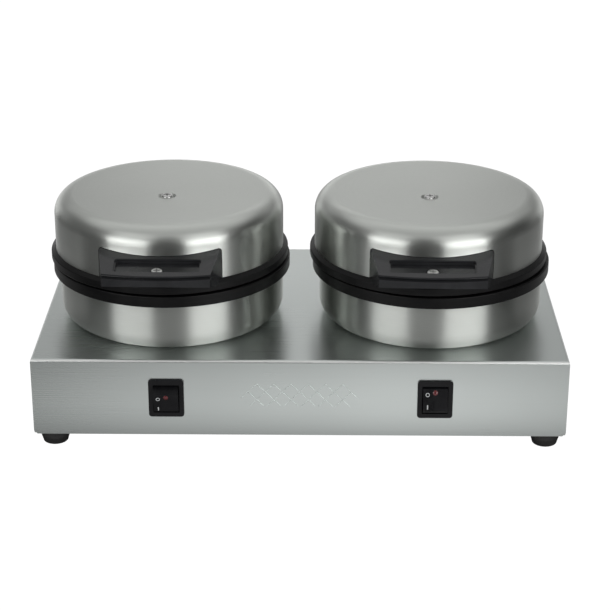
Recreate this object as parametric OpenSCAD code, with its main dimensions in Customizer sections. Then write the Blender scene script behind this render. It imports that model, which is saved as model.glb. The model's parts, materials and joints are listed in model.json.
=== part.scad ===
// Double waffle cone maker: one folded steel deck that carries two round, hinged baking heads.
// +X is to the operator's right, +Y is to the rear, +Z is up. The table is the plane z = 0 and
// the origin lies under the middle of the whole footprint, the rear cable gland included.

/* [Deck] */
// Width of the deck
deck_w = 412; // [400:1:440]
// Depth of the deck, front to back
deck_d = 240; // [236:1:260]
// Height of the deck's skirt
deck_h = 63; // [58:1:80]
// Thickness of the deck's sheet steel
sheet_t = 1.2; // [1:0.1:1.5]
// Outside radius of the bends along the deck's upper edges
bend_r = 2.2; // [1.8:0.1:4]
// Gap between the table and the deck's skirt
deck_lift = 12; // [8:1:20]

/* [Feet] */
// Diameter of a rubber foot at its top
foot_d = 22.4; // [16:0.2:26]
// Distance from the deck's outer faces to the middle of a foot
foot_inset = 14.5; // [13:0.1:30]

/* [Heads] */
// Distance between the axes of the two heads
head_spacing = 207.5; // [204:0.5:210]
// Distance from the deck's front face to the axes of the heads
head_setback = 102.75; // [100:0.25:106]
// Outside radius of the lower shell
lower_r = 89; // [88:0.5:90]
// Height of the lower shell above the deck
lower_h = 39.5; // [39:0.5:46]
// Outside radius of the black rims of both castings
rim_r = 94.5; // [94:0.5:96]
// Height of the lower rim
lower_rim_h = 9.1; // [8.5:0.1:12]
// Gap between the closed rims
rim_gap = 1.5; // [1.2:0.1:2]
// Straight height of the upper rim
upper_rim_h = 6.2; // [5.5:0.1:7]
// Outside radius of the lid shell
lid_r = 90.75; // [90:0.25:91]
// Height of the lid shell
lid_h = 43; // [42:0.5:48]
// Radius of the lid's rounded shoulder
lid_shoulder_r = 14.75; // [12:0.25:18]
// Thickness of the shells' sheet steel
shell_t = 1; // [0.8:0.1:1.2]
// Distance of the lid's screw in front of the head's axis
lid_screw_ahead = 13.5; // [0:0.5:16]
// Sideways swing of the left lid on its hinge play, in degrees
lid_skew_left = 0.75; // [0:0.05:1.5]
// Sideways swing of the right lid on its hinge play, in degrees
lid_skew_right = 1.2; // [0:0.05:1.5]

/* [Baking plates] */
// Diameter of the waffle pattern
baking_d = 168; // [150:1:168]
// Distance from one groove to the next
groove_pitch = 11; // [9:0.5:14]
// Width of a groove
groove_w = 2.2; // [1.6:0.1:3]
// Depth of a groove
groove_deep = 1.3; // [0.8:0.1:1.6]

/* [Hinge] */
// Distance of the hinge's axis behind the head's axis
hinge_back = 108; // [107:0.5:110]
// How far a lid opens, in degrees
lid_open = 95; // [85:1:100]
// Radius of the hinge pin
pin_r = 4; // [3.5:0.5:4.5]
// Radial running clearance of the hinge pin in the lid's knuckle
pin_play = 0.05; // [0.02:0.01:0.1]

/* [Handle] */
// Width of the handle where it meets the lid
handle_w = 93.5; // [88:0.5:96]
// Height of the handle's upper face above the deck, where it meets the front of the lid's wall
handle_top = 80; // [78:0.5:82]
// Forward slope of the handle's upper face, in degrees
handle_slope = 12; // [8:1:14]
// Radius of the handle's front lip, from the lid's axis
lip_r = 119; // [114:0.5:122]

/* [Switches] */
// Width of a switch bezel
bezel_w = 27.2; // [26:0.2:28]
// Height of a switch bezel
bezel_h = 31.3; // [31:0.1:33]
// Half of a rocker's travel, in degrees
rocker_tilt = 16; // [12:1:18]

/* [Cable gland] */
// Bore of the gland, for an 8 mm round lead
gland_bore_d = 8.5; // [7:0.5:10]

/* [Hidden] */
$fn = 64;
LEFT = -1;
RIGHT = 1;
eps = 0.01;
past = 1;

// Finishes
steel = "silver";
satin_black = [0.09, 0.09, 0.09];
dark_cast = [0.13, 0.13, 0.13];
rubber = [0.06, 0.06, 0.06];
brass = [0.78, 0.62, 0.32];
zinc = [0.72, 0.73, 0.75];

// Cable gland and the place of the deck
gland_hex_l = 5;
gland_dome_l = 12;
gland_out = gland_hex_l + gland_dome_l;
gland_r = 10;
gland_z = deck_lift + 26;
gland_thread_l = 10;
bezel_t = 1.2;
pivot_in = 3.4;
rocker_face = 7.1;
rocker_half = 8.55;
lip_out = lip_r - head_setback;
front_y = (lip_out - deck_d - gland_out) / 2;
rear_y = front_y + deck_d;
deck_mid_y = front_y + deck_d / 2;
deck_top = deck_lift + deck_h;

// Base plate, its flange and the feet
flange_w = 11;
plate_bottom = deck_lift + 1.2;
plate_top = plate_bottom + sheet_t;
plate_gap = 0.5;
foot_x = deck_w / 2 - foot_inset;
foot_y = deck_d / 2 - foot_inset;
m4_r = 2;
m4_head_r = 3.8;
m4_head_h = 2.4;
foot_recess_r = 5;
foot_recess_h = 5;

// Terminal block inside the deck
block_y = deck_mid_y + 40;
block_w = 60;
block_d = 22;
block_h = 18;
block_ways = 5;

// Levels inside a head, above the deck
rim_top = lower_h + lower_rim_h;
upper_rim_z = rim_top + rim_gap;
rim_slope_h = 2.1;
lid_z = upper_rim_z + upper_rim_h + rim_slope_h;
lid_top = lid_z + lid_h;
rim_round = 0.8;
rim_in_r = 84;
plate_thick = 7.1;
face_drop = 0.5;
lower_face = rim_top - face_drop;
upper_face = upper_rim_z + face_drop;
hinge_z = rim_top + rim_gap / 2;

// Heating element, clamp plate and insulation
tube_r = 4;
ring_r = 58;
leg_angle = 12;
leg_l = 20;
touch = 0.1;
clamp_r = 72;
clamp_t = 2;
wool_r = 78;
lower_ring_z = lower_face - plate_thick - tube_r - touch;
lower_clamp_z = lower_ring_z - tube_r - touch - clamp_t;
lower_wool_z = 10;
upper_ring_z = upper_face + plate_thick + tube_r + touch;
upper_clamp_z = upper_ring_z + tube_r + touch;
upper_wool_h = 16;

// Studs that hold a head down
stud_r = 3;
stud_pitch_r = 36;
stud_angles = [30, 150, 270];
m6_nut_r = 5.77;
m6_nut_h = 5;
stud_in = 3;
stud_below = 9;

// Hinge
knuckle_half = 21.6;
arm_half = 20;
ear_in = 22;
ear_out = 31;
barrel_r = 9;
pin_half = 34;
pin_bore_r = 2.2;
clip_t = 1;
clip_x = pin_half - 2;
stop_r = 3;
stop_reach = 13;
stop_angle = -58;
heel_half_w = 8;
heel_half_t = 3;
heel_reach = 15;
heel_gap = 0.4;
heel_angle = stop_angle + asin((stop_r + heel_half_t + heel_gap) / stop_reach) + lid_open;

// Handle: a wedge from the notch in the lid's wall out to the lip
handle_in_r = 83;
handle_back = 60;
handle_shoulder = 78;
handle_gap = 0.3;
handle_bottom = lid_z + handle_gap;
under_r = 95.5;
front_bottom = 66.5;
lip_half = 40.3;
lip_bow = 3;
lip_bow_r = (lip_half * lip_half + lip_bow * lip_bow) / (2 * lip_bow);
lip_t = 1;
lip_back = 1.8;
slit_h = 1.5;
slit_deep = 1.8;
notch_corner = 3.4;
lug_half = 30;
lug_front = 111;
lug_top = 68.5;
lug_play = 0.25;
pocket_w = 65;
pocket_l = 17.4;
pocket_mid = 12.2;
pocket_deep = 3.6;
pocket_r = 2.2;
ledge = 1;
front_ledge = 0.2;
ledge_deep = 1.4;
m5_r = 2.5;
m5_head_r = 4.6;
m5_head_h = 3.2;
screw_down = 16;
screw_deep = 5;
handle_screw_l = 7.5;

// Lid screw and its dish
dish_r = 7.2;
dish_floor_r = 5.3;
dish_deep = 2;
dish_slope = (dish_r - dish_floor_r) / dish_deep;
post_top = lid_top - dish_deep - shell_t;

// Switches
switch_z = deck_lift + deck_h / 2 - 0.05;
switch_half = 103.3;
switch_off = 0.7;
rocker_drop = 0.6;
cut_w = 22;
cut_h = 30;
well_w = 20;
well_h = 23;
well_deep = 13;
body_deep = 26;
rocker_w = 19;
rocker_r = sqrt(rocker_face * rocker_face + rocker_half * rocker_half);
trunnion_r = 1.5;
trunnion_play = 0.05;
lens_r = 1.95;
lens_z = 5.5;
mark_x = -6;
mark_up = 3.9;
mark_down = -5.7;
mark_t = 0.12;

// Wires
wire_r = 1.5;
lead_r = 1.8;
core_r = 1.3;
duct_up = 3.45;
duct_half_w = 3.3;
duct_half_h = 1.7;
shaft_y = 86.4;

// ---------- shared shapes ----------

// Rectangle on the x axis with its two upper corners rounded
module arch2d(w, h, r) {
    translate([-w / 2, 0]) square([w, h - r]);
    translate([r - w / 2, 0]) square([w - 2 * r, h]);
    for (s = [-1, 1]) translate([s * (w / 2 - r), h - r]) circle(r);
}

// Rectangle about the origin with four rounded corners
module plate2d(w, d, r) {
    square([w, d - 2 * r], center = true);
    square([w - 2 * r, d], center = true);
    for (sx = [-1, 1], sy = [-1, 1]) translate([sx * (w / 2 - r), sy * (d / 2 - r)]) circle(r);
}

// Half section of a bowl's outline, standing on the x axis, for rotate_extrude
module bowl2d(r, h, corner) {
    square([r - corner, h]);
    translate([0, corner]) square([r, h - corner]);
    translate([r - corner, corner]) circle(corner);
}

// Box with rounded upper edges, standing on z = 0
module folded_box(w, d, h, r) {
    intersection() {
        rotate([90, 0, 0]) linear_extrude(d, center = true) arch2d(w, h, r);
        rotate([90, 0, 90]) linear_extrude(w, center = true) arch2d(d, h, r);
    }
}

// Straight round run from a to b
module run(a, b, r) {
    d = b - a;
    translate(a) rotate([0, acos(d[2] / norm(d)), atan2(d[1], d[0])]) cylinder(r = r, h = norm(d));
}

// Insulated wire through the points of a route
module wire(route, r) {
    for (i = [0:len(route) - 2]) run(route[i], route[i + 1], r);
    for (i = [1:len(route) - 2]) translate(route[i]) sphere(r * 1.04);
}

// Cross recess of a screw head, cut downwards from z = 0
module cross_recess(r, deep) {
    for (a = [0, 90]) rotate([0, 0, a]) translate([-r, -0.45, -deep]) cube([2 * r, 0.9, deep + past]);
}

// Pan head screw, its seat at z = 0, its shank downwards
module pan_screw(r, head_r, head_h, l) {
    difference() {
        union() {
            translate([0, 0, -l]) cylinder(r = r, h = l + eps);
            rotate_extrude() {
                square([head_r, head_h * 0.45]);
                square([head_r - head_h * 0.55, head_h]);
                intersection() {
                    translate([head_r - head_h * 0.55, head_h * 0.45]) circle(head_h * 0.55);
                    square([head_r + past, head_h]);
                }
            }
        }
        translate([0, 0, head_h]) cross_recess(head_r * 0.55, head_h * 0.5);
    }
}

module hex_nut(across_r, h) {
    cylinder(r = across_r, h = h, $fn = 6);
}

// Places on the deck: the table frame to a head's own frame, on the deck at the head's axis
module head_frame(side) {
    translate([side * head_spacing / 2, front_y + head_setback, deck_top]) children();
}

// A head's frame, swung sideways about the hinge by the hinge's play
module lid_frame(side) {
    skew = side == LEFT ? lid_skew_left : lid_skew_right;
    head_frame(side) translate([0, hinge_back, 0]) rotate([0, 0, -skew])
        translate([0, -hinge_back, 0]) children();
}

module hinge_frame(side) {
    head_frame(side) translate([0, hinge_back, hinge_z]) children();
}

// Four places, one over each foot
module at_feet() {
    for (sx = [-1, 1], sy = [-1, 1]) translate([sx * foot_x, deck_mid_y + sy * foot_y, 0]) children();
}

// Eight places of the base plate's screws, on the flange
module at_base_screws() {
    edge = flange_w / 2 + sheet_t + 0.5;
    for (sx = [-1, 1], fy = [-0.3, 0.3])
        translate([sx * (deck_w / 2 - edge), deck_mid_y + fy * deck_d, 0]) children();
    for (fx = [-0.3, 0.3], sy = [-1, 1])
        translate([fx * deck_w, deck_mid_y + sy * (deck_d / 2 - edge), 0]) children();
}

module at_studs() {
    for (a = stud_angles) rotate([0, 0, a]) translate([stud_pitch_r, 0, 0]) children();
}

// Front panel frame of one switch: x right, y to the rear from the panel's face, z up
module switch_frame(side) {
    translate([side * switch_half + switch_off, front_y, switch_z]) children();
}

// ---------- deck ----------

// Raised lozenges pressed into the middle of the front panel
module lattice_emboss() {
    pitch = 6.6;
    side = 7.8;
    raise = 0.6;
    for (i = [-6:6], j = [-1:1]) if ((i + j) % 2 == 0)
        translate([i * pitch, front_y - raise, switch_z + j * pitch]) rotate([-90, 45, 0])
            translate([-side / 2, -side / 2, 0]) cube([side, side, raise + sheet_t / 2]);
}

module deck_top_holes() {
    for (side = [LEFT, RIGHT]) head_frame(side) {
        translate([0, 0, -sheet_t - past]) cylinder(r = 12, h = sheet_t + 2 * past);
        at_studs() translate([0, 0, -sheet_t - past]) cylinder(r = stud_r + 0.2, h = sheet_t + 2 * past);
        translate([-pin_half - 6, hinge_back, -sheet_t - past]) cylinder(r = 5, h = sheet_t + 2 * past);
    }
}

module deck_housing() {
    color(steel) {
        difference() {
            union() {
                difference() {
                    translate([0, deck_mid_y, deck_lift]) folded_box(deck_w, deck_d, deck_h, bend_r);
                    translate([0, deck_mid_y, deck_lift - past])
                        folded_box(deck_w - 2 * sheet_t, deck_d - 2 * sheet_t, deck_h - sheet_t + past,
                            bend_r - sheet_t);
                }
                translate([0, deck_mid_y, plate_top]) linear_extrude(sheet_t) difference() {
                    square([deck_w - sheet_t, deck_d - sheet_t], center = true);
                    square([deck_w - 2 * sheet_t - 2 * flange_w, deck_d - 2 * sheet_t - 2 * flange_w],
                        center = true);
                }
                lattice_emboss();
            }
            deck_top_holes();
            for (side = [LEFT, RIGHT]) switch_frame(side) translate([-cut_w / 2, -past, -cut_h / 2])
                cube([cut_w, sheet_t + 2 * past, cut_h]);
            translate([0, rear_y + past, gland_z]) rotate([90, 0, 0])
                cylinder(r = gland_r + 0.2, h = sheet_t + 2 * past);
            translate([0, 0, plate_top - past]) at_base_screws()
                cylinder(r = m4_r, h = sheet_t + 2 * past);
            translate([0, 0, plate_top - past]) at_feet() cylinder(r = 5.2, h = sheet_t + 2 * past);
            for (sx = [-1, 1], sy = [-1, 1])
                translate([sx * deck_w / 2, deck_mid_y + sy * deck_d / 2, deck_lift])
                    rotate([0, 45, 0]) cube([3.8, 4, 3.8], center = true);
        }
    }
}

module base_plate() {
    slot_l = 44;
    slot_w = 4;
    slot_pitch = 11;
    color(steel) translate([0, 0, plate_bottom]) difference() {
        translate([0, deck_mid_y, 0]) linear_extrude(sheet_t)
            plate2d(deck_w - 2 * sheet_t - 2 * plate_gap, deck_d - 2 * sheet_t - 2 * plate_gap, 3);
        for (side = [LEFT, RIGHT], i = [-3:3])
            translate([side * head_spacing / 2, deck_mid_y + i * slot_pitch, -past])
                linear_extrude(sheet_t + 2 * past) plate2d(slot_l, slot_w, slot_w / 2 - eps);
        translate([0, 0, -past]) at_feet() cylinder(r = m4_r + 0.2, h = sheet_t + 2 * past);
        translate([0, 0, -past]) at_base_screws() cylinder(r = m4_r + 0.2, h = sheet_t + 2 * past);
    }
}

module base_plate_screws() {
    color(zinc) at_base_screws() translate([0, 0, plate_bottom]) rotate([180, 0, 0])
        pan_screw(m4_r, m4_head_r, m4_head_h, 8);
}

// ---------- feet ----------

module foot(sx, sy) {
    base_r = foot_d / 2 - 1.4;
    edge = 1.4;
    color(rubber) translate([sx * foot_x, deck_mid_y + sy * foot_y, 0]) difference() {
        rotate_extrude() {
            polygon([[0, 0], [base_r - edge, 0], [base_r - edge, edge], [base_r, edge],
                [foot_d / 2, 6], [foot_d / 2, plate_bottom], [0, plate_bottom]]);
            translate([base_r - edge, edge]) circle(edge);
        }
        translate([0, 0, -past]) cylinder(r = foot_recess_r, h = foot_recess_h + past);
        cylinder(r = m4_r + 0.2, h = plate_bottom + past);
    }
}

module foot_screws() {
    color(zinc) at_feet() {
        translate([0, 0, foot_recess_h]) rotate([180, 0, 0]) pan_screw(m4_r, m4_head_r, m4_head_h, 14);
        translate([0, 0, plate_top]) hex_nut(4.04, 3.2);
    }
}

// ---------- cable gland ----------

module cable_gland() {
    color(satin_black) translate([0, rear_y, gland_z]) rotate([-90, 0, 0]) difference() {
        union() {
            translate([0, 0, -gland_thread_l]) cylinder(r = gland_r, h = gland_thread_l + eps);
            cylinder(r = 13.8, h = gland_hex_l, $fn = 6);
            translate([0, 0, gland_hex_l - eps]) cylinder(r = 11.4, h = gland_dome_l - 3 + eps);
            translate([0, 0, gland_out - 3 - eps]) cylinder(r1 = 11.4, r2 = 8, h = 3 + eps);
        }
        translate([0, 0, -gland_thread_l - past])
            cylinder(d = gland_bore_d, h = gland_thread_l + gland_out + 2 * past);
    }
}

module gland_nut() {
    color(satin_black) translate([0, rear_y - sheet_t, gland_z]) rotate([90, 0, 0]) difference() {
        cylinder(r = 13.8, h = 5, $fn = 6);
        translate([0, 0, -past]) cylinder(r = gland_r, h = 5 + 2 * past);
    }
}

// ---------- inside the deck ----------

module terminal_block() {
    way = block_w / block_ways;
    color([0.9, 0.88, 0.82]) translate([0, block_y, plate_top]) difference() {
        translate([-block_w / 2, -block_d / 2, 0]) cube([block_w, block_d, block_h]);
        for (i = [0:block_ways - 1]) translate([-block_w / 2 + (i + 0.5) * way, 0, 0]) {
            for (s = [-1, 1]) translate([0, s * 5, 10]) cylinder(r = 2, h = block_h);
            for (s = [-1, 1]) translate([0, s * block_d / 2, 6]) rotate([90, 0, 0])
                cylinder(r = 2, h = 12, center = true);
        }
        for (i = [1:block_ways - 1]) translate([-block_w / 2 + i * way - 0.6, -block_d / 2 - past, 14])
            cube([1.2, block_d + 2 * past, block_h]);
    }
}

module earth_stud() {
    color(brass) translate([58, block_y, plate_top]) {
        cylinder(r = 2.5, h = 16);
        hex_nut(4.62, 4);
        translate([0, 0, 7]) hex_nut(4.62, 4);
    }
}

// Supply wires of one head: block to switch, switch to the head's centre and to its heating
// ring's legs, and one lead that rises behind the head and enters the hollow hinge pin
module wiring(side) {
    hx = side * head_spacing / 2;
    hy = front_y + head_setback;
    low_z = plate_top + 12;
    tab_y = front_y + body_deep + 9.2;
    pin_x = hx - pin_half - 6;
    head_z = deck_top + 7.5;
    leg_x = ring_r * sin(leg_angle);
    leg_y = ring_r * cos(leg_angle);
    color([0.75, 0.72, 0.68]) {
        for (s = [-1, 1]) {
            bx = side * 18 + s * 6;
            wire([[bx, block_y - block_d / 2 - 0.8, plate_top + 6], [bx, block_y - block_d / 2 - 16, low_z],
                [hx + s * 5.5, tab_y + 20, low_z + 10], [hx + s * 5.5, tab_y, switch_z - 9]], wire_r);
            wire([[hx + s * 5.5, tab_y, switch_z + 9], [hx + s * 4, hy - 8, switch_z + 9],
                [hx + s * 4, hy, head_z], [hx + s * 4, hy, deck_top + 21]], wire_r);
            wire([[hx + s * 4, hy, head_z], [hx + s * leg_x, hy + leg_y, head_z],
                [hx + s * leg_x, hy + leg_y, deck_top + lower_ring_z - leg_l - 0.2]], wire_r);
        }
        wire([[side * 6, block_y + block_d / 2 + 1.6, plate_top + 6], [side * 6, block_y + 28, low_z + 6],
            [pin_x, hy + hinge_back - 14, switch_z + 2], [pin_x, hy + hinge_back, switch_z + 14],
            [pin_x, hy + hinge_back, deck_top + hinge_z],
            [hx - pin_half - 0.2, hy + hinge_back, deck_top + hinge_z]], lead_r);
    }
}

module wire_grommets() {
    color(rubber) for (side = [LEFT, RIGHT]) head_frame(side)
        translate([-pin_half - 6, hinge_back, -sheet_t]) difference() {
            union() {
                translate([0, 0, -1.5]) cylinder(r = 7, h = 1.5);
                cylinder(r = 5, h = sheet_t);
                translate([0, 0, sheet_t]) cylinder(r = 7, h = 1.5);
            }
            translate([0, 0, -2 - past]) cylinder(r = lead_r + 0.2, h = 8);
        }
}

// ---------- switches ----------

module switch_housing(side) {
    color(satin_black) switch_frame(side) difference() {
        union() {
            rotate([90, 0, 0]) linear_extrude(bezel_t) plate2d(bezel_w, bezel_h, 2.4);
            translate([-cut_w / 2 + 0.2, 0, -cut_h / 2 + 0.2])
                cube([cut_w - 0.4, body_deep, cut_h - 0.4]);
        }
        translate([-well_w / 2, -bezel_t - past, -well_h / 2 - rocker_drop])
            cube([well_w, bezel_t + past + well_deep, well_h]);
        translate([0, pivot_in - bezel_t, -rocker_drop]) rotate([0, 90, 0])
            cylinder(r = trunnion_r + trunnion_play, h = well_w + 1, center = true);
    }
}

module switch_terminals() {
    color(brass) for (side = [LEFT, RIGHT]) switch_frame(side)
        for (sx = [-1, 1], sz = [-1, 0, 1])
            translate([sx * 5.5 - 3.15, body_deep, sz * 9 - 0.4]) cube([6.3, 9, 0.8]);
}

// Frame of a rocker: origin on its pivot, tipped to the way it is set
module rocker_frame(side) {
    tip = side == LEFT ? rocker_tilt : -rocker_tilt;
    switch_frame(side) translate([0, pivot_in - bezel_t, -rocker_drop]) rotate([tip, 0, 0]) children();
}

module rocker(side) {
    back = 3.5;
    color(satin_black) rocker_frame(side) difference() {
        union() {
            rotate([0, -90, 0]) linear_extrude(rocker_w, center = true) intersection() {
                circle(rocker_r);
                translate([-rocker_r, -rocker_face]) square([2 * rocker_r, rocker_face + back]);
            }
            rotate([0, 90, 0]) cylinder(r = trunnion_r, h = well_w + 0.6, center = true);
        }
        translate([0, past - rocker_face, lens_z]) rotate([90, 0, 0]) cylinder(r = lens_r, h = 2 * past);
    }
}

module neon_lens(side) {
    dome = 3;
    color([0.75, 0.12, 0.12]) rocker_frame(side)
        translate([0, past - rocker_face, lens_z]) rotate([90, 0, 0]) {
            cylinder(r = lens_r, h = past);
            translate([0, 0, past]) intersection() {
                translate([0, 0, -dome]) sphere(sqrt(dome * dome + lens_r * lens_r));
                cylinder(r = lens_r, h = dome);
            }
        }
}

// A ring for off and a bar for on, printed on the rocker's face
module rocker_marks(side) {
    color("white") rocker_frame(side) translate([mark_x, -rocker_face, 0]) {
        translate([0, 0, mark_up]) rotate([90, 0, 0]) linear_extrude(mark_t) difference() {
            circle(1.6);
            circle(1.05);
        }
        translate([-0.4, -mark_t, mark_down - 1.7]) cube([0.8, mark_t, 3.4]);
    }
}

// ---------- lower half of a head ----------

module lower_shell(side) {
    color(steel) head_frame(side) difference() {
        rotate_extrude() difference() {
            bowl2d(lower_r, lower_h, 14);
            translate([0, shell_t]) bowl2d(lower_r - shell_t, lower_h, 14 - shell_t);
        }
        translate([0, 0, -past]) cylinder(r = 12, h = shell_t + 2 * past);
        translate([0, 0, -past]) at_studs() cylinder(r = stud_r + 0.2, h = shell_t + 2 * past);
    }
}

// Crossed grooves that shape the waffle, inside the baking circle, cut down from z = 0
module waffle_grooves() {
    n = floor(baking_d / 2 / groove_pitch);
    intersection() {
        translate([0, 0, -groove_deep]) cylinder(d = baking_d, h = groove_deep + past);
        union() for (i = [-n:n], a = [45, 135]) rotate([0, 0, a])
            translate([-baking_d / 2, i * groove_pitch - groove_w / 2, -groove_deep])
                cube([baking_d, groove_w, groove_deep + past]);
    }
}

// Half section of a rim with both outer edges rounded
module rim2d(z, h) {
    translate([rim_in_r, z]) square([rim_r - rim_round - rim_in_r, h]);
    translate([rim_in_r, z + rim_round]) square([rim_r - rim_in_r, h - 2 * rim_round]);
    for (e = [z + rim_round, z + h - rim_round]) translate([rim_r - rim_round, e]) circle(rim_round);
}

// Ears of the hinge and the bar that stops the opened lid
module lower_hinge() {
    for (s = [-1, 1]) translate([s * (ear_in + ear_out) / 2, 0, 0]) {
        w = ear_out - ear_in;
        translate([0, hinge_back, hinge_z]) rotate([0, 90, 0]) cylinder(r = barrel_r, h = w, center = true);
        translate([-w / 2, rim_in_r + 5, lower_h]) cube([w, hinge_back - rim_in_r - 5, lower_rim_h]);
        translate([0, hinge_back + stop_reach * cos(stop_angle), hinge_z + stop_reach * sin(stop_angle)])
            rotate([0, 90, 0]) cylinder(r = 5.5, h = w, center = true);
    }
    translate([0, hinge_back + stop_reach * cos(stop_angle), hinge_z + stop_reach * sin(stop_angle)])
        rotate([0, 90, 0]) cylinder(r = stop_r, h = 2 * ear_in + 1, center = true);
}

module lower_plate(side) {
    bottom = lower_face - plate_thick;
    color(dark_cast) head_frame(side) difference() {
        union() {
            rotate_extrude() {
                translate([0, bottom]) square([rim_in_r + eps, plate_thick]);
                rim2d(lower_h, lower_rim_h);
                translate([rim_in_r, lower_h - 4]) square([lower_r - shell_t - 0.3 - rim_in_r, 4 + eps]);
            }
            lower_hinge();
        }
        translate([0, 0, lower_face]) waffle_grooves();
        at_studs() translate([0, 0, bottom - past]) cylinder(r = stud_r, h = stud_in + past);
        translate([0, hinge_back, hinge_z]) rotate([0, 90, 0])
            cylinder(r = pin_r, h = 3 * ear_out, center = true);
    }
}

// Tubular heating ring, open at the rear, whose two legs point up or down
module element(ring_z, leg_dir) {
    translate([0, 0, ring_z]) {
        rotate([0, 0, 90 + leg_angle]) rotate_extrude(angle = 360 - 2 * leg_angle)
            translate([ring_r, 0]) circle(tube_r);
        for (s = [-1, 1]) rotate([0, 0, 90 + s * leg_angle]) translate([ring_r, 0, 0]) {
            sphere(tube_r * 1.02);
            rotate([leg_dir > 0 ? 0 : 180, 0, 0]) {
                cylinder(r = tube_r, h = leg_l - 8);
                cylinder(r = 1.2, h = leg_l);
            }
        }
    }
}

// Disc that clamps a heating ring, and the blanket behind it
module pressed_disc(r, z, h, leg_hole, stud_hole, centre_hole) {
    difference() {
        translate([0, 0, z]) cylinder(r = r, h = h);
        for (s = [-1, 1]) rotate([0, 0, 90 + s * leg_angle]) translate([ring_r, 0, z - past])
            cylinder(r = leg_hole, h = h + 2 * past);
        translate([0, 0, z - past]) at_studs() cylinder(r = stud_hole, h = h + 2 * past);
        translate([0, 0, z - past]) cylinder(r = centre_hole, h = h + 2 * past);
    }
}

module lower_element(side) {
    color([0.35, 0.33, 0.3]) head_frame(side) element(lower_ring_z, -1);
}

module lower_clamp(side) {
    color(zinc) head_frame(side)
        pressed_disc(clamp_r, lower_clamp_z, clamp_t, tube_r + 0.6, stud_r + 0.2, 11);
}

module lower_insulation(side) {
    h = lower_clamp_z - lower_wool_z - touch;
    color([0.93, 0.92, 0.88]) head_frame(side)
        pressed_disc(wool_r, lower_wool_z, h, tube_r + 1, m6_nut_r + 0.4, 16);
}

// Bimetal thermostat clipped against the underside of the lower plate
module thermostat(side) {
    bottom = lower_face - plate_thick;
    color([0.85, 0.82, 0.75]) head_frame(side) {
        translate([0, 0, bottom - 9]) cylinder(r = 8, h = 9);
        for (s = [-1, 1]) translate([s * 4 - 2.4, -0.4, bottom - 16]) cube([4.8, 0.8, 8]);
    }
}

module head_studs() {
    bottom = lower_face - plate_thick;
    color(zinc) for (side = [LEFT, RIGHT]) head_frame(side) at_studs() {
        translate([0, 0, -stud_below]) cylinder(r = stud_r, h = stud_below + bottom + stud_in);
        translate([0, 0, -sheet_t - m6_nut_h]) hex_nut(m6_nut_r, m6_nut_h);
        translate([0, 0, shell_t]) hex_nut(m6_nut_r, m6_nut_h);
        translate([0, 0, lower_clamp_z - m6_nut_h]) hex_nut(m6_nut_r, m6_nut_h);
    }
}

// ---------- hinge pin ----------

module hinge_pin(side) {
    color(zinc) hinge_frame(side) rotate([0, 90, 0]) difference() {
        union() {
            translate([0, 0, -pin_half]) cylinder(r = pin_r, h = 2 * pin_half);
            translate([0, 0, -pin_half]) cylinder(r = pin_r + 2, h = pin_half - ear_out);
        }
        translate([0, 0, -pin_half - past]) cylinder(r = pin_bore_r, h = pin_half + past + 6);
        translate([0, 0, clip_x - clip_t]) difference() {
            cylinder(r = pin_r + past, h = clip_t);
            translate([0, 0, -past]) cylinder(r = pin_r - 0.6, h = clip_t + 2 * past);
        }
        rotate([0, -90, 0]) translate([-duct_half_w, -pin_r - past, 0.8])
            cube([2 * duct_half_w, pin_r + past, pin_r + past]);
    }
}

module pin_clips() {
    color(zinc) for (side = [LEFT, RIGHT]) hinge_frame(side) rotate([0, 90, 0])
        translate([0, 0, clip_x - clip_t]) difference() {
            cylinder(r = pin_r + 2.2, h = clip_t);
            translate([0, 0, -past]) cylinder(r = pin_r - 0.6, h = clip_t + 2 * past);
            translate([-1.6, 0, -past]) cube([3.2, pin_r + 4, clip_t + 2 * past]);
        }
}

// ---------- lid ----------

module lid_shell(side) {
    color(steel) lid_frame(side) difference() {
        union() {
            translate([0, 0, lid_top]) mirror([0, 0, 1]) rotate_extrude() difference() {
                bowl2d(lid_r, lid_h, lid_shoulder_r);
                translate([0, shell_t]) bowl2d(lid_r - shell_t, lid_h, lid_shoulder_r - shell_t);
            }
            translate([0, -lid_screw_ahead, lid_top - shell_t - dish_deep])
                cylinder(r1 = dish_floor_r + 1, r2 = dish_r + 1, h = dish_deep + shell_t - eps);
        }
        translate([0, -lid_screw_ahead, lid_top - dish_deep])
            cylinder(r1 = dish_floor_r, r2 = dish_r + dish_slope * past, h = dish_deep + past);
        translate([0, -lid_screw_ahead, lid_top - 9]) cylinder(r = m5_r + 0.2, h = 9);
        notch_cut();
    }
}

// Height of the handle's upper face at a distance in front of the head's axis
function slope_z(y) = handle_top - (y - lid_r) * tan(handle_slope);

// Notch for the handle, with a level bottom and the slope of the handle's upper face
module notch_cut() {
    front = lid_r + past;
    width = handle_w + 2 * handle_gap;
    intersection() {
        rotate([90, 0, -90]) linear_extrude(width, center = true)
            polygon([[handle_back, lid_z - past], [front, lid_z - past],
                [front, slope_z(front) + handle_gap], [handle_back, slope_z(handle_back) + handle_gap]]);
        rotate([90, 0, 0]) linear_extrude(front + past)
            arch2d(width, slope_z(handle_shoulder) + handle_gap, notch_corner);
    }
}

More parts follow.
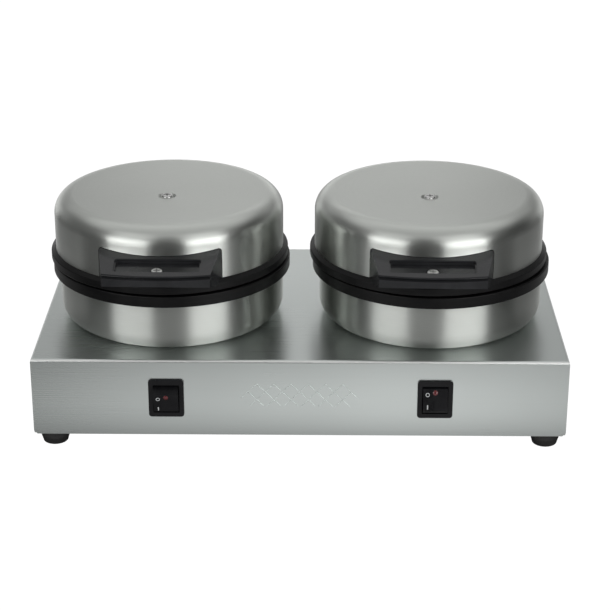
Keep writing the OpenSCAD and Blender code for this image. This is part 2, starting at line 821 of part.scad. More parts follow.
module upper_plate(side) {
    spigot_r = lid_r - shell_t - 0.3;
    color(dark_cast) difference() {
        union() {
            lid_frame(side) difference() {
                union() {
                    rotate_extrude() {
                        translate([0, upper_face]) square([rim_in_r + eps, plate_thick]);
                        rim2d(upper_rim_z, upper_rim_h);
                        polygon([[rim_in_r, upper_rim_z + 1], [rim_r - rim_round, upper_rim_z + 1],
                            [rim_r - rim_round, upper_rim_z + upper_rim_h - rim_round],
                            [rim_r - 0.23, upper_rim_z + upper_rim_h - 0.23],
                            [lid_r + 0.3, lid_z], [rim_in_r, lid_z]]);
                        translate([rim_in_r, lid_z - eps]) square([spigot_r - rim_in_r, 3]);
                    }
                    lug();
                    translate([-arm_half, rim_in_r, upper_rim_z])
                        cube([2 * arm_half, hinge_back - rim_in_r, lid_z - upper_rim_z - 0.4]);
                }
                translate([0, 0, upper_face]) mirror([0, 0, 1]) waffle_grooves();
                handle_clear();
            }
            hinge_frame(side) {
                rotate([0, 90, 0]) cylinder(r = barrel_r, h = 2 * knuckle_half, center = true);
                rotate([heel_angle, 0, 0]) translate([-heel_half_w, 0, -heel_half_t])
                    cube([2 * heel_half_w, heel_reach, 2 * heel_half_t]);
            }
        }
        hinge_frame(side) rotate([0, 90, 0])
            cylinder(r = pin_r + pin_play, h = 3 * knuckle_half, center = true);
        lid_frame(side) lead_duct();
    }
}

// Duct for the lid's lead: forward from the hinge pin, then up behind the plate's edge
module lead_duct() {
    w = 2 * duct_half_w;
    z = hinge_z + duct_up - duct_half_h;
    translate([-duct_half_w, shaft_y, z]) cube([w, hinge_back - shaft_y, 2 * duct_half_h]);
    translate([-duct_half_w, shaft_y - duct_half_h, z]) cube([w, 2 * duct_half_h, 20]);
}

// Arm of the upper casting that carries the handle
module lug() {
    rotate([90, 0, -90]) linear_extrude(2 * lug_half, center = true)
        polygon([[80, 57], [93, 57], [94.4, 59.4], [lug_front, 64.9], [lug_front, lug_top], [80, lug_top]]);
}

// Room for the handle's feet on both sides of the arm, and the handle screw's hole
module handle_clear() {
    foot_w = handle_w / 2 + 2 * handle_gap - lug_half + lug_play;
    for (s = [-1, 1]) translate([s * (lug_half - lug_play + foot_w / 2), -80, lid_z + 6])
        cube([foot_w, 40, 12], center = true);
    handle_screw_place() translate([0, 0, -handle_screw_l]) cylinder(r = m5_r, h = handle_screw_l + past);
}

// ---------- handle ----------

// Frame on the upper face: origin at the lid's wall, x across, -y down the slope, z out of it
module ramp_frame() {
    translate([0, -lid_r, handle_top]) rotate([handle_slope, 0, 0]) children();
}

// Frame on the handle screw's seat, z along the screw and outwards
module handle_screw_place() {
    ramp_frame() translate([0, -screw_down, -screw_deep]) children();
}

module handle(side) {
    half = handle_w / 2;
    far = lip_r + past;
    far_half = half - (far - handle_shoulder) * (half - lip_half) / (lip_r - lip_bow - handle_shoulder);
    far_z = front_bottom + past * (front_bottom - handle_bottom) / (lip_r - under_r);
    bow_y = lip_bow_r - lip_r;
    color(satin_black) lid_frame(side) difference() {
        intersection() {
            rotate([90, 0, -90]) linear_extrude(handle_w, center = true)
                polygon([[handle_back, handle_bottom], [under_r, handle_bottom], [far, far_z],
                    [far, slope_z(far)], [handle_back, slope_z(handle_back)]]);
            linear_extrude(100) intersection() {
                polygon([[-half, -handle_back], [-half, -handle_shoulder], [-far_half, -far],
                    [far_half, -far], [half, -handle_shoulder], [half, -handle_back]]);
                translate([0, bow_y]) circle(lip_bow_r);
            }
            rotate([90, 0, 0]) linear_extrude(far + past)
                arch2d(handle_w, slope_z(handle_shoulder), notch_corner - handle_gap);
        }
        cylinder(r = handle_in_r, h = 100);
        translate([-lug_half - lug_play, -lug_front - lug_play, lid_z - past])
            cube([2 * lug_half + 2 * lug_play, 60, lug_top - lid_z + past]);
        ramp_frame() {
            translate([0, -pocket_mid, -ledge_deep]) linear_extrude(ledge_deep + 6)
                plate2d(pocket_w, pocket_l, pocket_r);
            translate([0, -pocket_mid - ledge / 2 + front_ledge / 2, -pocket_deep])
                linear_extrude(pocket_deep - ledge_deep + eps)
                    plate2d(pocket_w - 2 * ledge, pocket_l - ledge - front_ledge, pocket_r - ledge / 2);
        }
        difference() {
            ramp_frame() translate([-half, -50, -lip_t - slit_h])
                cube([handle_w, 35, lip_t + slit_h + past]);
            translate([0, bow_y, 0]) cylinder(r = lip_bow_r - lip_back, h = 100);
        }
        difference() {
            ramp_frame() translate([-half, -50, -lip_t - slit_h]) cube([handle_w, 35, slit_h]);
            translate([0, bow_y, 0]) cylinder(r = lip_bow_r - lip_back - slit_deep, h = 100);
        }
        handle_screw_place() cylinder(r = m5_head_r + 0.7, h = screw_deep - pocket_deep + eps);
        handle_screw_place() translate([0, 0, -20]) cylinder(r = m5_r + 0.1, h = 22);
    }
}

module handle_screw(side) {
    color(zinc) lid_frame(side) handle_screw_place() pan_screw(m5_r, m5_head_r, m5_head_h, handle_screw_l);
}

// ---------- inside the lid ----------

module upper_element(side) {
    color([0.35, 0.33, 0.3]) lid_frame(side) element(upper_ring_z, 1);
}

module upper_clamp(side) {
    color(zinc) lid_frame(side) difference() {
        translate([0, 0, upper_clamp_z]) cylinder(r = clamp_r, h = clamp_t);
        leg_holes(upper_clamp_z, tube_r + 0.6, clamp_t);
        translate([0, -lid_screw_ahead, upper_clamp_z - past]) cylinder(r = 3, h = clamp_t + 2 * past);
    }
}

module leg_holes(z, r, h) {
    for (s = [-1, 1]) rotate([0, 0, 90 + s * leg_angle]) translate([ring_r, 0, z - past])
        cylinder(r = r, h = h + 2 * past);
}

module upper_insulation(side) {
    z = upper_clamp_z + clamp_t + touch;
    color([0.93, 0.92, 0.88]) lid_frame(side) difference() {
        translate([0, 0, z]) cylinder(r = wool_r, h = upper_wool_h);
        leg_holes(z, tube_r + 1, upper_wool_h);
        translate([0, -lid_screw_ahead, z - past]) cylinder(r = 7, h = upper_wool_h + 2 * past);
    }
}

module lid_post(side) {
    z = upper_clamp_z + clamp_t;
    color(zinc) lid_frame(side) translate([0, -lid_screw_ahead, 0]) difference() {
        translate([0, 0, z]) cylinder(r = 5.5, h = post_top - z, $fn = 6);
        translate([0, 0, post_top - 12]) cylinder(r = m5_r, h = 12 + past);
    }
}

module lid_screw(side) {
    color(zinc) lid_frame(side) translate([0, -lid_screw_ahead, lid_top - dish_deep])
        pan_screw(m5_r, m5_head_r, m5_head_h, 12);
}

// Heatproof lead from the hinge pin, through the casting's duct, to the heating ring's legs
module lid_lead(side) {
    duct_z = hinge_z + duct_up;
    over_z = 88;
    leg_x = ring_r * sin(leg_angle);
    leg_y = ring_r * cos(leg_angle);
    color([0.7, 0.66, 0.6]) lid_frame(side) for (s = [-1, 1])
        wire([[s * 1.6, hinge_back - pin_r - 0.8, duct_z], [s * 1.6, shaft_y, duct_z],
            [s * 1.6, shaft_y, over_z], [s * leg_x, leg_y, over_z],
            [s * leg_x, leg_y, upper_ring_z + leg_l + 0.2]], core_r);
}

// ---------- nodes ----------

deck_housing();
base_plate();
base_plate_screws();
foot(-1, -1);  // foot_front_left
foot(1, -1);  // foot_front_right
foot(-1, 1);  // foot_rear_left
foot(1, 1);  // foot_rear_right
foot_screws();
cable_gland();
gland_nut();
terminal_block();
earth_stud();
wiring(LEFT);  // wiring_left
wiring(RIGHT);  // wiring_right
wire_grommets();
switch_housing(LEFT);  // switch_housing_left
switch_housing(RIGHT);  // switch_housing_right
switch_terminals();
rocker(LEFT);  // rocker_left
rocker(RIGHT);  // rocker_right
neon_lens(LEFT);  // neon_lens_left
neon_lens(RIGHT);  // neon_lens_right
rocker_marks(LEFT);  // rocker_marks_left
rocker_marks(RIGHT);  // rocker_marks_right
lower_shell(LEFT);  // lower_shell_left
lower_shell(RIGHT);  // lower_shell_right
lower_plate(LEFT);  // lower_plate_left
lower_plate(RIGHT);  // lower_plate_right
lower_element(LEFT);  // lower_element_left
lower_element(RIGHT);  // lower_element_right
lower_clamp(LEFT);  // lower_clamp_left
lower_clamp(RIGHT);  // lower_clamp_right
lower_insulation(LEFT);  // lower_insulation_left
lower_insulation(RIGHT);  // lower_insulation_right
thermostat(LEFT);  // thermostat_left
thermostat(RIGHT);  // thermostat_right
head_studs();
hinge_pin(LEFT);  // hinge_pin_left
hinge_pin(RIGHT);  // hinge_pin_right
pin_clips();
lid_shell(LEFT);  // lid_shell_left
lid_shell(RIGHT);  // lid_shell_right
upper_plate(LEFT);  // upper_plate_left
upper_plate(RIGHT);  // upper_plate_right
upper_element(LEFT);  // upper_element_left
upper_element(RIGHT);  // upper_element_right
upper_clamp(LEFT);  // upper_clamp_left
upper_clamp(RIGHT);  // upper_clamp_right
upper_insulation(LEFT);  // upper_insulation_left
upper_insulation(RIGHT);  // upper_insulation_right
lid_post(LEFT);  // lid_post_left
lid_post(RIGHT);  // lid_post_right
lid_screw(LEFT);  // lid_screw_left
lid_screw(RIGHT);  // lid_screw_right
handle(LEFT);  // handle_left
handle(RIGHT);  // handle_right
handle_screw(LEFT);  // handle_screw_left
handle_screw(RIGHT);  // handle_screw_right
lid_lead(LEFT);  // lid_lead_left
lid_lead(RIGHT);  // lid_lead_right
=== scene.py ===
"""Looks of a double waffle cone maker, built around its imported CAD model. All lengths are in metres."""
import json
import math

import bpy
import bmesh
from mathutils import Matrix, Vector


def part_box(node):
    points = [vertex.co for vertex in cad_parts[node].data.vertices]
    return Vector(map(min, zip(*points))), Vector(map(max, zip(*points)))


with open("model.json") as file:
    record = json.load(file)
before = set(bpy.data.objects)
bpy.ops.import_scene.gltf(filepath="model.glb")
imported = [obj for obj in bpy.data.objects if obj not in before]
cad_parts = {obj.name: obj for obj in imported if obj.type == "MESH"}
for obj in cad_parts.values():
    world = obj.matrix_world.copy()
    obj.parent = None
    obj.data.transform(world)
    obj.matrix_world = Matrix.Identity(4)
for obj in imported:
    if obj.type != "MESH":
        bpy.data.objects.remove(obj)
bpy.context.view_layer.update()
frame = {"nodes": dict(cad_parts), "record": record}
NODES = frame["nodes"]
SIDES = ("left", "right")

# ---------------------------------------------------------------- places, all from the CAD

deck_low, deck_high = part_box("deck_housing")
shell_boxes = {s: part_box(f"lower_shell_{s}") for s in SIDES}
HEAD = {s: Vector(((b[0].x + b[1].x) / 2, (b[0].y + b[1].y) / 2, b[0].z)) for s, b in shell_boxes.items()}
LID = {}
for s in SIDES:
    low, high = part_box(f"lid_shell_{s}")
    LID[s] = Vector(((low.x + high.x) / 2, (low.y + high.y) / 2, deck_high.z))


# ---------------------------------------------------------------- node helpers

class Nodes:
    """A material's node tree, with short names for the nodes the materials below are made of."""

    def __init__(self, name, tree=None):
        if tree is None:
            self.mat = bpy.data.materials.new(name)
            self.mat.use_nodes = True
            tree = self.mat.node_tree
        self.tree = tree
        tree.nodes.clear()
        self.n, self.l = tree.nodes, tree.links

    def put(self, socket, value):
        if isinstance(value, bpy.types.NodeSocket):
            self.l.new(value, socket)
        elif value is not None:
            socket.default_value = value

    def coords(self, scale=(1, 1, 1), rotate=(0, 0, 0), shift=(0, 0, 0)):
        c = self.n.new("ShaderNodeTexCoord")
        m = self.n.new("ShaderNodeMapping")
        self.l.new(c.outputs["Object"], m.inputs["Vector"])
        m.inputs["Scale"].default_value = scale
        m.inputs["Rotation"].default_value = rotate
        m.inputs["Location"].default_value = shift
        return m.outputs["Vector"]

    def noise(self, vector, scale=1.0, detail=4.0, rough=0.55, distortion=0.0):
        t = self.n.new("ShaderNodeTexNoise")
        self.put(t.inputs["Vector"], vector)
        t.inputs["Scale"].default_value = scale
        t.inputs["Detail"].default_value = detail
        t.inputs["Roughness"].default_value = rough
        t.inputs["Distortion"].default_value = distortion
        return t.outputs["Fac"]

    def voronoi(self, vector, scale, feature="F1"):
        t = self.n.new("ShaderNodeTexVoronoi")
        t.feature = feature
        self.put(t.inputs["Vector"], vector)
        t.inputs["Scale"].default_value = scale
        return t.outputs["Distance"]

    def ramp(self, value, low, high, to_low=0.0, to_high=1.0, smooth=False):
        r = self.n.new("ShaderNodeMapRange")
        if smooth:
            r.interpolation_type = "SMOOTHSTEP"
        self.put(r.inputs["Value"], value)
        for k, v in (("From Min", low), ("From Max", high), ("To Min", to_low), ("To Max", to_high)):
            r.inputs[k].default_value = v
        return r.outputs["Result"]

    def fade(self, value, low, high, to_low=0.0, to_high=1.0):
        """A ramp with soft ends."""
        return self.ramp(value, low, high, to_low, to_high, True)

    def math(self, op, a, b=None):
        m = self.n.new("ShaderNodeMath")
        m.operation = op
        self.put(m.inputs[0], a)
        self.put(m.inputs[1], b)
        return m.outputs[0]

    def add(self, a, b):
        return self.math("ADD", a, b)

    def mul(self, a, b):
        return self.math("MULTIPLY", a, b)

    def vmath(self, op, a, b=None):
        m = self.n.new("ShaderNodeVectorMath")
        m.operation = op
        self.put(m.inputs[0], a)
        if b is not None:
            self.put(m.inputs[1], b)
        return m.outputs["Value" if op in ("LENGTH", "DOT_PRODUCT") else "Vector"]

    def split(self, v):
        s = self.n.new("ShaderNodeSeparateXYZ")
        self.l.new(v, s.inputs[0])
        return s.outputs

    def join(self, x=0.0, y=0.0, z=0.0):
        c = self.n.new("ShaderNodeCombineXYZ")
        for i, v in enumerate((x, y, z)):
            self.put(c.inputs[i], v)
        return c.outputs[0]

    def mix(self, fac, a, b):
        m = self.n.new("ShaderNodeMix")
        m.data_type = "RGBA"
        self.put(m.inputs["Factor"], fac)
        self.put(m.inputs[6], a)
        self.put(m.inputs[7], b)
        return m.outputs[2]

    def bump(self, height, distance, strength=1.0, normal=None):
        b = self.n.new("ShaderNodeBump")
        b.inputs["Strength"].default_value = strength
        b.inputs["Distance"].default_value = distance
        self.put(b.inputs["Height"], height)
        self.put(b.inputs["Normal"], normal)
        return b.outputs["Normal"]

    def shader(self, **inputs):
        p = self.n.new("ShaderNodeBsdfPrincipled")
        for k, v in inputs.items():
            self.put(p.inputs[k.replace("_", " ")], v)
        out = self.n.new("ShaderNodeOutputMaterial")
        self.l.new(p.outputs["BSDF"], out.inputs["Surface"])
        return self.mat


def rgb(r, g=None, b=None):
    return (r, r if g is None else g, r if b is None else b, 1.0)


# ---------------------------------------------------------------- materials

def round_coords(t, centre):
    """Object coordinates of a spun piece: (radius, angle, height), and the tangent along its grain."""
    c = t.n.new("ShaderNodeTexCoord").outputs["Object"]
    rel = t.vmath("SUBTRACT", c, tuple(centre))
    x, y, z = t.split(rel)
    radius = t.math("SQRT", t.add(t.mul(x, x), t.mul(y, y)))
    angle = t.math("ARCTAN2", y, x)
    cross = t.vmath("CROSS_PRODUCT", (0, 0, 1), rel)
    turn = t.n.new("ShaderNodeVectorTransform")
    turn.vector_type = "VECTOR"
    turn.convert_from = "OBJECT"
    turn.convert_to = "WORLD"
    t.l.new(cross, turn.inputs[0])
    return radius, angle, z, rel, turn.outputs[0]


CROWN_BLEND = 0.014  # height over which the wall's grain fades into the crown's


def spun_steel(name, centre, base, rough, aniso, crown=None):
    """Satin stainless, brushed round its axis; a crown above the given height has a closer, even grain."""
    t = Nodes(name)
    radius, angle, z, rel, tangent = round_coords(t, centre)

    def rings(along, across):
        return t.join(t.mul(angle, along), t.mul(radius, across), t.mul(z, across))

    grain = t.noise(rings(2.2, 2600.0), 1.0, 3.0, 0.7)
    fine = t.noise(rings(9.0, 900.0), 1.0, 2.0, 0.6)
    cloud = t.noise(rel, 9.0, 3.0, 0.5, 0.3)
    roughness = t.add(t.ramp(grain, 0.3, 0.7, rough - 0.02, rough + 0.03),
                      t.ramp(cloud, 0.3, 0.7, -0.02, 0.02))
    if crown:
        aniso = t.fade(z, crown - CROWN_BLEND, crown - 0.001, aniso, 0.15)
    tone = t.mul(t.ramp(fine, 0.3, 0.7, 0.98, 1.01), t.ramp(cloud, 0.25, 0.75, 0.975, 1.015))
    colour = t.mix(tone, rgb(0.0), rgb(*base))
    normal = t.bump(grain, 0.000004, 0.4)
    return t.shader(Base_Color=colour, Metallic=1.0, Roughness=roughness, Anisotropic=aniso,
                    Anisotropic_Rotation=0.25, Tangent=tangent, Normal=normal)


EDGE_HIGHLIGHT_REACH = 0.0022  # how far the painted highlight reaches from the folded edge
MARK_RAISE = 0.0006  # how far the lozenges stand out of the front panel
MARK_HALF = 0.060  # half the width that the lozenges take up


def sheet_steel(name, base, rough, aniso):
    """Stainless sheet, brushed along the deck's width."""
    t = Nodes(name)
    grain = t.noise(t.coords((7.0, 1500.0, 1500.0)), 1.0, 3.0, 0.65)
    streak = t.noise(t.coords((3.0, 330.0, 330.0)), 1.0, 2.0, 0.6)
    cloud = t.noise(t.coords(), 7.0, 3.0, 0.5, 0.4)
    roughness = t.add(t.ramp(grain, 0.3, 0.7, rough - 0.012, rough + 0.020),
                      t.ramp(cloud, 0.3, 0.7, -0.02, 0.02))
    tone = t.mul(t.ramp(streak, 0.3, 0.7, 0.990, 1.007), t.ramp(cloud, 0.25, 0.75, 0.985, 1.01))
    # the folded edge over the front panel is painted brighter: a painted highlight standing in for the light
    # line that the bend catches
    px, py, pz = t.split(t.coords())
    edge_highlight = t.mul(t.fade(py, deck_low.y + EDGE_HIGHLIGHT_REACH, deck_low.y + 0.0010),
                 t.fade(pz, deck_high.z - EDGE_HIGHLIGHT_REACH, deck_high.z - 0.0010))
    colour = t.mix(edge_highlight, t.mix(tone, rgb(0.0), rgb(*base)), rgb(0.93, 0.94, 0.92))
    aniso = t.mul(t.ramp(edge_highlight, 0.0, 1.0, 1.0, 0.2), aniso)
    roughness = t.add(roughness, t.mul(edge_highlight, 0.16))
    # the flanks of the raised lozenges in the front panel are duller than the sheet round them
    flank = t.mul(t.ramp(py, deck_low.y + 0.00002, deck_low.y + 0.00008),
                  t.ramp(py, deck_low.y + MARK_RAISE - 0.00010, deck_low.y + MARK_RAISE - 0.00002, 1.0, 0.0))
    flank = t.mul(flank, t.ramp(t.math("ABSOLUTE", px), MARK_HALF, MARK_HALF + 0.002, 1.0, 0.0))
    roughness = t.add(roughness, t.mul(flank, 0.22))
    normal = t.bump(grain, 0.0000018, 0.4)
    return t.shader(Base_Color=colour, Metallic=1.0, Roughness=roughness, Anisotropic=aniso,
                    Anisotropic_Rotation=0.25, Tangent=t.join(1.0, 0.05, 0.0), Normal=normal)


def bright_steel(name, base=(0.66, 0.66, 0.65), rough=0.25):
    t = Nodes(name)
    c = t.coords()
    cloud = t.noise(c, 60.0, 4.0, 0.6)
    fine = t.noise(c, 1500.0, 2.0, 0.6)
    return t.shader(Base_Color=t.mix(t.ramp(cloud, 0.3, 0.7, 0.93, 1.03), rgb(0.0), rgb(*base)), Metallic=1.0,
                    Roughness=t.ramp(cloud, 0.3, 0.7, rough - 0.05, rough + 0.08),
                    Normal=t.bump(fine, 0.00001, 0.4))


def cast_black(name):
    """Cast plate with a satin black coating: slightly uneven, with faint level scuffs."""
    t = Nodes(name)
    c = t.coords()
    orange = t.noise(c, 900.0, 3.0, 0.6)
    grit = t.noise(c, 3200.0, 2.0, 0.6)
    cloud = t.noise(c, 22.0, 4.0, 0.6, 0.5)
    scuff = t.noise(t.coords((40.0, 40.0, 900.0)), 1.0, 3.0, 0.6)
    tone = t.add(t.ramp(cloud, 0.3, 0.75, 0.0, 0.6), t.ramp(scuff, 0.55, 0.8, 0.0, 0.5))
    colour = t.mix(tone, rgb(0.003, 0.003, 0.0033), rgb(0.011, 0.011, 0.011))
    roughness = t.add(t.ramp(cloud, 0.3, 0.7, 0.32, 0.42), t.ramp(scuff, 0.5, 0.8, 0.0, 0.10))
    normal = t.bump(orange, 0.00006, 0.6, t.bump(grit, 0.00002, 0.5))
    return t.shader(Base_Color=colour, Metallic=0.0, Roughness=roughness, Specular_IOR_Level=0.16,
                    Normal=normal)


def moulded(name, base, rough, tex=0.00004, scale=2200.0, vary=0.05, spec=0.5):
    """Moulded plastic with a fine spark-eroded texture and faint flow marks."""
    t = Nodes(name)
    c = t.coords()
    fine = t.noise(c, scale, 2.0, 0.6)
    pits = t.voronoi(c, scale * 0.55)
    flow = t.noise(c, 35.0, 4.0, 0.55, 1.2)
    lighter = tuple(min(1.0, v * 1.35 + 0.004) for v in base)
    colour = t.mix(t.ramp(flow, 0.3, 0.75, 0.0, 1.0), rgb(*base), rgb(*lighter))
    roughness = t.add(t.ramp(flow, 0.3, 0.7, rough - vary, rough + vary),
                      t.ramp(fine, 0.3, 0.7, -0.03, 0.03))
    normal = t.bump(fine, tex, 0.5, t.bump(pits, tex * 0.7, 0.5))
    return t.shader(Base_Color=colour, Roughness=roughness, Specular_IOR_Level=spec, Normal=normal)


def rubber_black(name):
    t = Nodes(name)
    c = t.coords()
    bloom = t.noise(c, 70.0, 5.0, 0.65, 0.6)
    grit = t.noise(c, 1800.0, 3.0, 0.7)
    return t.shader(Base_Color=t.mix(t.ramp(bloom, 0.35, 0.75), rgb(0.011), rgb(0.026, 0.025, 0.024)),
                    Roughness=t.ramp(bloom, 0.3, 0.7, 0.62, 0.8), Normal=t.bump(grit, 0.00008, 0.6))


def lens_red(name):
    t = Nodes(name)
    c = t.coords()
    flow = t.noise(c, 500.0, 3.0, 0.5)
    return t.shader(Base_Color=t.mix(flow, rgb(0.060, 0.004, 0.006), rgb(0.12, 0.010, 0.012)),
                    Roughness=t.ramp(flow, 0.3, 0.7, 0.12, 0.2),
                    Specular_IOR_Level=0.6, Normal=t.bump(flow, 0.00002, 0.4))


def ceramic_white(name, base):
    t = Nodes(name)
    c = t.coords()
    cloud = t.noise(c, 60.0, 5.0, 0.6)
    grit = t.noise(c, 2500.0, 2.0, 0.6)
    dark = tuple(v * 0.86 for v in base)
    return t.shader(Base_Color=t.mix(t.ramp(cloud, 0.3, 0.7), rgb(*dark), rgb(*base)),
                    Roughness=t.ramp(cloud, 0.3, 0.7, 0.5, 0.7),
                    Normal=t.bump(grit, 0.00003, 0.5))


def woven(name, base):
    """Braided glass-fibre sleeve or fibre blanket: fine crossed strands."""
    t = Nodes(name)
    c = t.coords()
    w = t.n.new("ShaderNodeTexWave")
    w.bands_direction = "DIAGONAL"
    t.l.new(c, w.inputs["Vector"])
    w.inputs["Scale"].default_value = 900.0
    w.inputs["Distortion"].default_value = 3.0
    fibre = t.noise(c, 1200.0, 4.0, 0.7)
    dark = tuple(v * 0.72 for v in base)
    height = t.mul(w.outputs["Fac"], fibre)
    return t.shader(Base_Color=t.mix(t.ramp(height, 0.1, 0.6), rgb(*dark), rgb(*base)), Roughness=0.85,
                    Normal=t.bump(height, 0.00015, 0.7))


def burnt_metal(name):
    t = Nodes(name)
    c = t.coords()
    cloud = t.noise(c, 40.0, 5.0, 0.6, 0.8)
    colour = t.mix(t.ramp(cloud, 0.3, 0.7), rgb(0.10, 0.085, 0.07), rgb(0.22, 0.19, 0.16))
    return t.shader(Base_Color=colour, Metallic=0.7, Roughness=t.ramp(cloud, 0.3, 0.7, 0.42, 0.62),
                    Normal=t.bump(t.noise(c, 900.0), 0.00003, 0.5))


def brass_bare(name):
    t = Nodes(name)
    c = t.coords()
    cloud = t.noise(c, 90.0, 5.0, 0.6, 0.6)
    colour = t.mix(t.ramp(cloud, 0.3, 0.7), rgb(0.52, 0.36, 0.14), rgb(0.76, 0.58, 0.27))
    return t.shader(Base_Color=colour, Metallic=1.0, Roughness=t.ramp(cloud, 0.3, 0.7, 0.24, 0.42),
                    Normal=t.bump(t.noise(c, 1200.0), 0.00001, 0.4))


STEEL = (0.60, 0.635, 0.62)
SPUN = (0.615, 0.635, 0.605)
LID_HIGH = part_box("lid_shell_left")[1].z - deck_high.z
MATS = {
    "deck_steel": sheet_steel("deck_steel", STEEL, 0.29, 0.62),
    "cast_black": cast_black("cast_black"),
    "handle_black": moulded("handle_black", (0.019, 0.0195, 0.021), 0.19, 0.000015, 2200.0, 0.02),
    "switch_black": moulded("switch_black", (0.003, 0.003, 0.0038), 0.30, 0.00002, 3000.0, 0.05, 0.17),
    "neon_red": lens_red("neon_red"),
    "mark_white": moulded("mark_white", (0.42, 0.43, 0.43), 0.5, 0.00001, 4000.0),
    "rubber": rubber_black("rubber"),
    "gland_black": moulded("gland_black", (0.014, 0.014, 0.015), 0.42),
    "fastener": bright_steel("fastener"),
    "brass": brass_bare("brass"),
    "ceramic": ceramic_white("ceramic", (0.82, 0.79, 0.72)),
    "wire_sleeve": woven("wire_sleeve", (0.66, 0.63, 0.57)),
    "element": burnt_metal("element"),
    "clamp_steel": bright_steel("clamp_steel", (0.62, 0.63, 0.65), 0.34),
    "insulation": woven("insulation", (0.84, 0.83, 0.80)),
}
SHELL = {s: spun_steel(f"shell_steel_{s}", HEAD[s], SPUN, 0.43, 1.0) for s in SIDES}
LIDM = {s: spun_steel(f"lid_steel_{s}", LID[s], SPUN, 0.34, 0.95, LID_HIGH) for s in SIDES}

slot_of = {row["node"]: row["material_slot"] for row in frame["record"]["subparts"]}


def dress(o, material):
    o.data.materials.clear()
    o.data.materials.append(material)


for name, o in NODES.items():
    side = name.rsplit("_", 1)[-1]
    if name.startswith("lower_shell"):
        dress(o, SHELL[side])
    elif name.startswith("lid_shell"):
        dress(o, LIDM[side])
    else:
        dress(o, MATS[slot_of[name]])


def soften(name, width, angle=30.0, segments=3):
    """Rounds a CAD node's edges with modifiers; its own mesh stays as it is."""
    o = NODES[name]
    b = o.modifiers.new("edge", "BEVEL")
    b.width = width
    b.segments = segments
    b.limit_method = "ANGLE"
    b.angle_limit = math.radians(angle)
    b.harden_normals = True
    b.miter_outer = "MITER_ARC"


# ---------------------------------------------------------------- camera

SENSOR_MM = 36.0
FOCAL_MM = 106.601
PITCH, YAW, ROLL = (math.radians(v) for v in (22.676, -0.4995, 0.0922))
FROM_FRONT_EDGE = Vector((0.0149, -1.25252, 0.56982))  # from the middle of the deck's front top edge

cam_data = bpy.data.cameras.new("camera")
cam = bpy.data.objects.new("camera", cam_data)
bpy.context.scene.collection.objects.link(cam)
cam_data.sensor_width = SENSOR_MM
cam_data.lens = FOCAL_MM
cam_data.clip_start = 0.05
cam_data.clip_end = 60.0
ahead = Vector((math.sin(YAW) * math.cos(PITCH), math.cos(YAW) * math.cos(PITCH), -math.sin(PITCH)))
right = Vector((math.cos(YAW), -math.sin(YAW), 0.0))
up = right.cross(ahead)
right_r = right * math.cos(ROLL) + up * math.sin(ROLL)
up_r = up * math.cos(ROLL) - right * math.sin(ROLL)
place = Vector((0.0, deck_low.y, deck_high.z)) + FROM_FRONT_EDGE
facing = Matrix((right_r, up_r, -ahead)).transposed().to_4x4()
cam.matrix_world = Matrix.Translation(place) @ facing
bpy.context.scene.camera = cam

# ---------------------------------------------------------------- studio

scene = bpy.context.scene
scene.view_settings.view_transform = "Standard"

PAPER_WHITE = 1.05  # strength that the view shows as plain white
LIGHT_TARGET = Vector((0.0, -0.02, 0.12))
LIGHT_DISTANCE = 1.5
# name, azimuth (0 in front of the object, + to the right), elevation, width, height, watts
LIGHTS = (
    ("softbox_left", -39.0, 24.0, 1.00, 1.5, 2.9),
    ("softbox_right", 36.0, 24.0, 1.05, 1.5, 4.0),
    ("strip_left", -39.0, 3.0, 1.05, 0.36, 4.9),
    ("strip_right", 36.0, 3.0, 1.10, 0.36, 6.5),
)

for name, azimuth, elevation, width, height, watts in LIGHTS:
    a, e = math.radians(azimuth), math.radians(elevation)
    way = Vector((math.sin(a) * math.cos(e), -math.cos(a) * math.cos(e), math.sin(e)))
    light = bpy.data.lights.new(name, "AREA")
    light.shape = "RECTANGLE"
    light.size, light.size_y = width, height
    light.energy = watts
    o = bpy.data.objects.new(name, light)
    scene.collection.objects.link(o)
    aim = way.to_track_quat("Z", "Y").to_matrix().to_4x4()
    o.matrix_world = Matrix.Translation(LIGHT_TARGET + way * LIGHT_DISTANCE) @ aim
    o.visible_camera = False

# Room: dim, with a light ceiling and rear; the camera itself sees plain white
world = bpy.data.worlds.new("studio")
scene.world = world
world.use_nodes = True
w = Nodes("", world.node_tree)
wx, wy, wz = w.split(w.n.new("ShaderNodeTexCoord").outputs["Generated"])
behind = w.fade(wy, 0.25, 0.85, 0.0, 0.34)
above = w.mul(w.fade(wz, 0.50, 0.80, 0.0, 0.74), w.fade(wy, -0.6, 0.6, 0.55, 1.0))
left_wall = w.fade(wx, -0.55, -0.95, 0.0, 0.09)
ROOM_LEVEL = 0.038
level = w.add(w.add(w.math("MAXIMUM", behind, above), left_wall), ROOM_LEVEL)
room = w.n.new("ShaderNodeBackground")
w.l.new(level, room.inputs["Strength"])
room.inputs["Color"].default_value = rgb(1.0)
paper = w.n.new("ShaderNodeBackground")
paper.inputs["Color"].default_value = rgb(1.0)
paper.inputs["Strength"].default_value = PAPER_WHITE
blend = w.n.new("ShaderNodeMixShader")
w.l.new(w.n.new("ShaderNodeLightPath").outputs["Is Camera Ray"], blend.inputs[0])
w.l.new(room.outputs[0], blend.inputs[1])
w.l.new(paper.outputs[0], blend.inputs[2])
w.l.new(blend.outputs[0], w.n.new("ShaderNodeOutputWorld").inputs["Surface"])


def stage_piece(name, bm, material):
    """A mesh that belongs to the studio, not to the object."""
    mesh = bpy.data.meshes.new(name)
    bm.to_mesh(mesh)
    bm.free()
    o = bpy.data.objects.new(name, mesh)
    scene.collection.objects.link(o)
    o.data.materials.append(material)
    return o


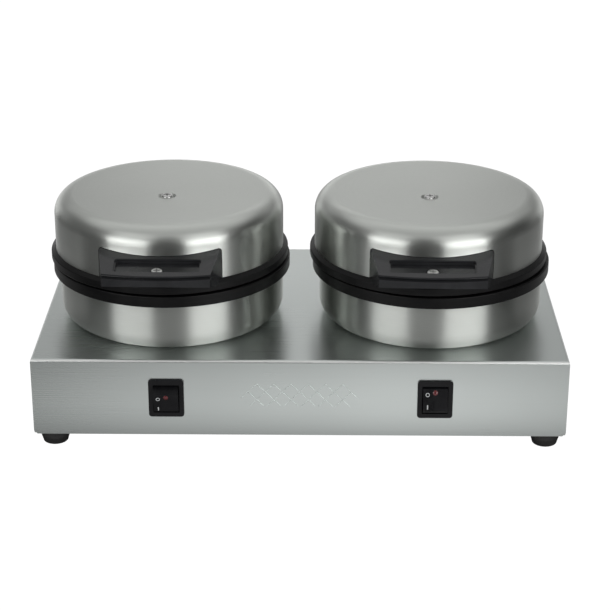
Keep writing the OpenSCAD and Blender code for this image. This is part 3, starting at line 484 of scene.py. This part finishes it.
# Floor: a pale sweep, white to the camera; what the object mirrors of it is lit in front, beside and behind
FLOOR_RADIUS = 9.0
FLOOR_DROP = 0.0002
t = Nodes("floor_paper")
floor_at = t.coords()
fx, fy = t.split(floor_at)[:2]
paper_grain = t.noise(floor_at, 300.0, 3.0, 0.6)
ahead_of = t.math("SUBTRACT", deck_low.y, fy)
near_glow = t.fade(ahead_of, 0.10, 0.22, 0.57, 0.0)
wide_glow = t.fade(ahead_of, 0.16, 0.45, 0.20, 0.0)
glow = t.add(t.add(near_glow, wide_glow), 0.08)
glow = t.mul(glow, t.fade(ahead_of, -0.03, 0.09, 0.0, 1.0))
glow = t.mul(glow, t.fade(fx, 0.10, 0.42, 1.0, 0.15))
glow = t.mul(glow, t.fade(fx, -0.42, -0.10, 0.15, 1.0))
glow = t.mul(glow, t.ramp(fx, -0.26, 0.06, 0.68, 1.26))
glow = t.mul(glow, t.ramp(fx, 0.08, 0.30, 1.0, 0.80))
out_x = t.math("ABSOLUTE", fx)
side_glow = t.mul(t.fade(out_x, 0.215, 0.25, 0.0, 0.42), t.fade(out_x, 0.34, 0.58, 1.0, 0.2))
side_glow = t.mul(side_glow, t.fade(ahead_of, -0.10, -0.01, 1.0, 0.0))
rear_glow = t.mul(t.fade(fy, 0.115, 0.13, 0.0, 0.42), t.fade(fy, 0.20, 0.27, 1.0, 0.0))
rear_glow = t.mul(rear_glow, t.fade(out_x, 0.215, 0.25, 1.0, 0.0))
glow = t.add(glow, t.add(side_glow, rear_glow))
diffuse = t.n.new("ShaderNodeBsdfDiffuse")
t.put(diffuse.inputs["Color"], t.mix(paper_grain, rgb(0.055), rgb(0.065)))
lit = t.n.new("ShaderNodeEmission")
t.put(lit.inputs["Strength"], glow)
both = t.n.new("ShaderNodeAddShader")
t.l.new(diffuse.outputs[0], both.inputs[0])
t.l.new(lit.outputs[0], both.inputs[1])
white = t.n.new("ShaderNodeEmission")
white.inputs["Strength"].default_value = PAPER_WHITE
choose = t.n.new("ShaderNodeMixShader")
t.l.new(t.n.new("ShaderNodeLightPath").outputs["Is Camera Ray"], choose.inputs[0])
t.l.new(both.outputs[0], choose.inputs[1])
t.l.new(white.outputs[0], choose.inputs[2])
t.l.new(choose.outputs[0], t.n.new("ShaderNodeOutputMaterial").inputs["Surface"])
bm = bmesh.new()
bmesh.ops.create_circle(bm, cap_ends=True, segments=96, radius=FLOOR_RADIUS)
floor = stage_piece("floor", bm, t.mat)
floor.location.z = -FLOOR_DROP

# A card behind the object, which the level tops mirror: brightest low down and in the middle
CARD_Y, CARD_HALF, CARD_TOP = 0.62, 0.8, 0.7
t = Nodes("back_card")
card_at = t.split(t.coords())
kx, kz = card_at[0], card_at[2]
card_level = t.add(t.fade(kz, 0.28, 0.40, 1.28, 0.14), t.fade(kz, 0.40, 0.56, 0.0, 0.82))
low_part = t.fade(kz, 0.16, 0.26, 1.0, 0.0)
low_level = t.fade(t.math("ABSOLUTE", kx), 0.18, 0.45, 0.30, 1.3)
low_change = t.mul(low_part, t.math("SUBTRACT", low_level, 1.0))
card_level = t.mul(card_level, t.add(1.0, low_change))
card_level = t.mul(card_level, t.fade(kx, -0.42, -0.10, 0.55, 1.0))
card_level = t.mul(card_level, t.fade(kx, 0.12, 0.42, 1.0, 0.45))
lit = t.n.new("ShaderNodeEmission")
t.put(lit.inputs["Strength"], card_level)
t.l.new(lit.outputs[0], t.n.new("ShaderNodeOutputMaterial").inputs["Surface"])
bm = bmesh.new()
for x, z in ((-CARD_HALF, 0.0), (CARD_HALF, 0.0), (CARD_HALF, CARD_TOP), (-CARD_HALF, CARD_TOP)):
    bm.verts.new((x, CARD_Y, z))
bm.faces.new(bm.verts)
card = stage_piece("back_card", bm, t.mat)
card.visible_camera = False
card.visible_shadow = False

# ---------------------------------------------------------------- edges of the CAD nodes

for name, width in (("deck_housing", 0.0003), ("foot_front_left", 0.0005), ("foot_front_right", 0.0005)):
    soften(name, width)
for s in SIDES:
    soften(f"handle_{s}", 0.0009, 28.0)
    soften(f"switch_housing_{s}", 0.0005)
    soften(f"rocker_{s}", 0.0004)
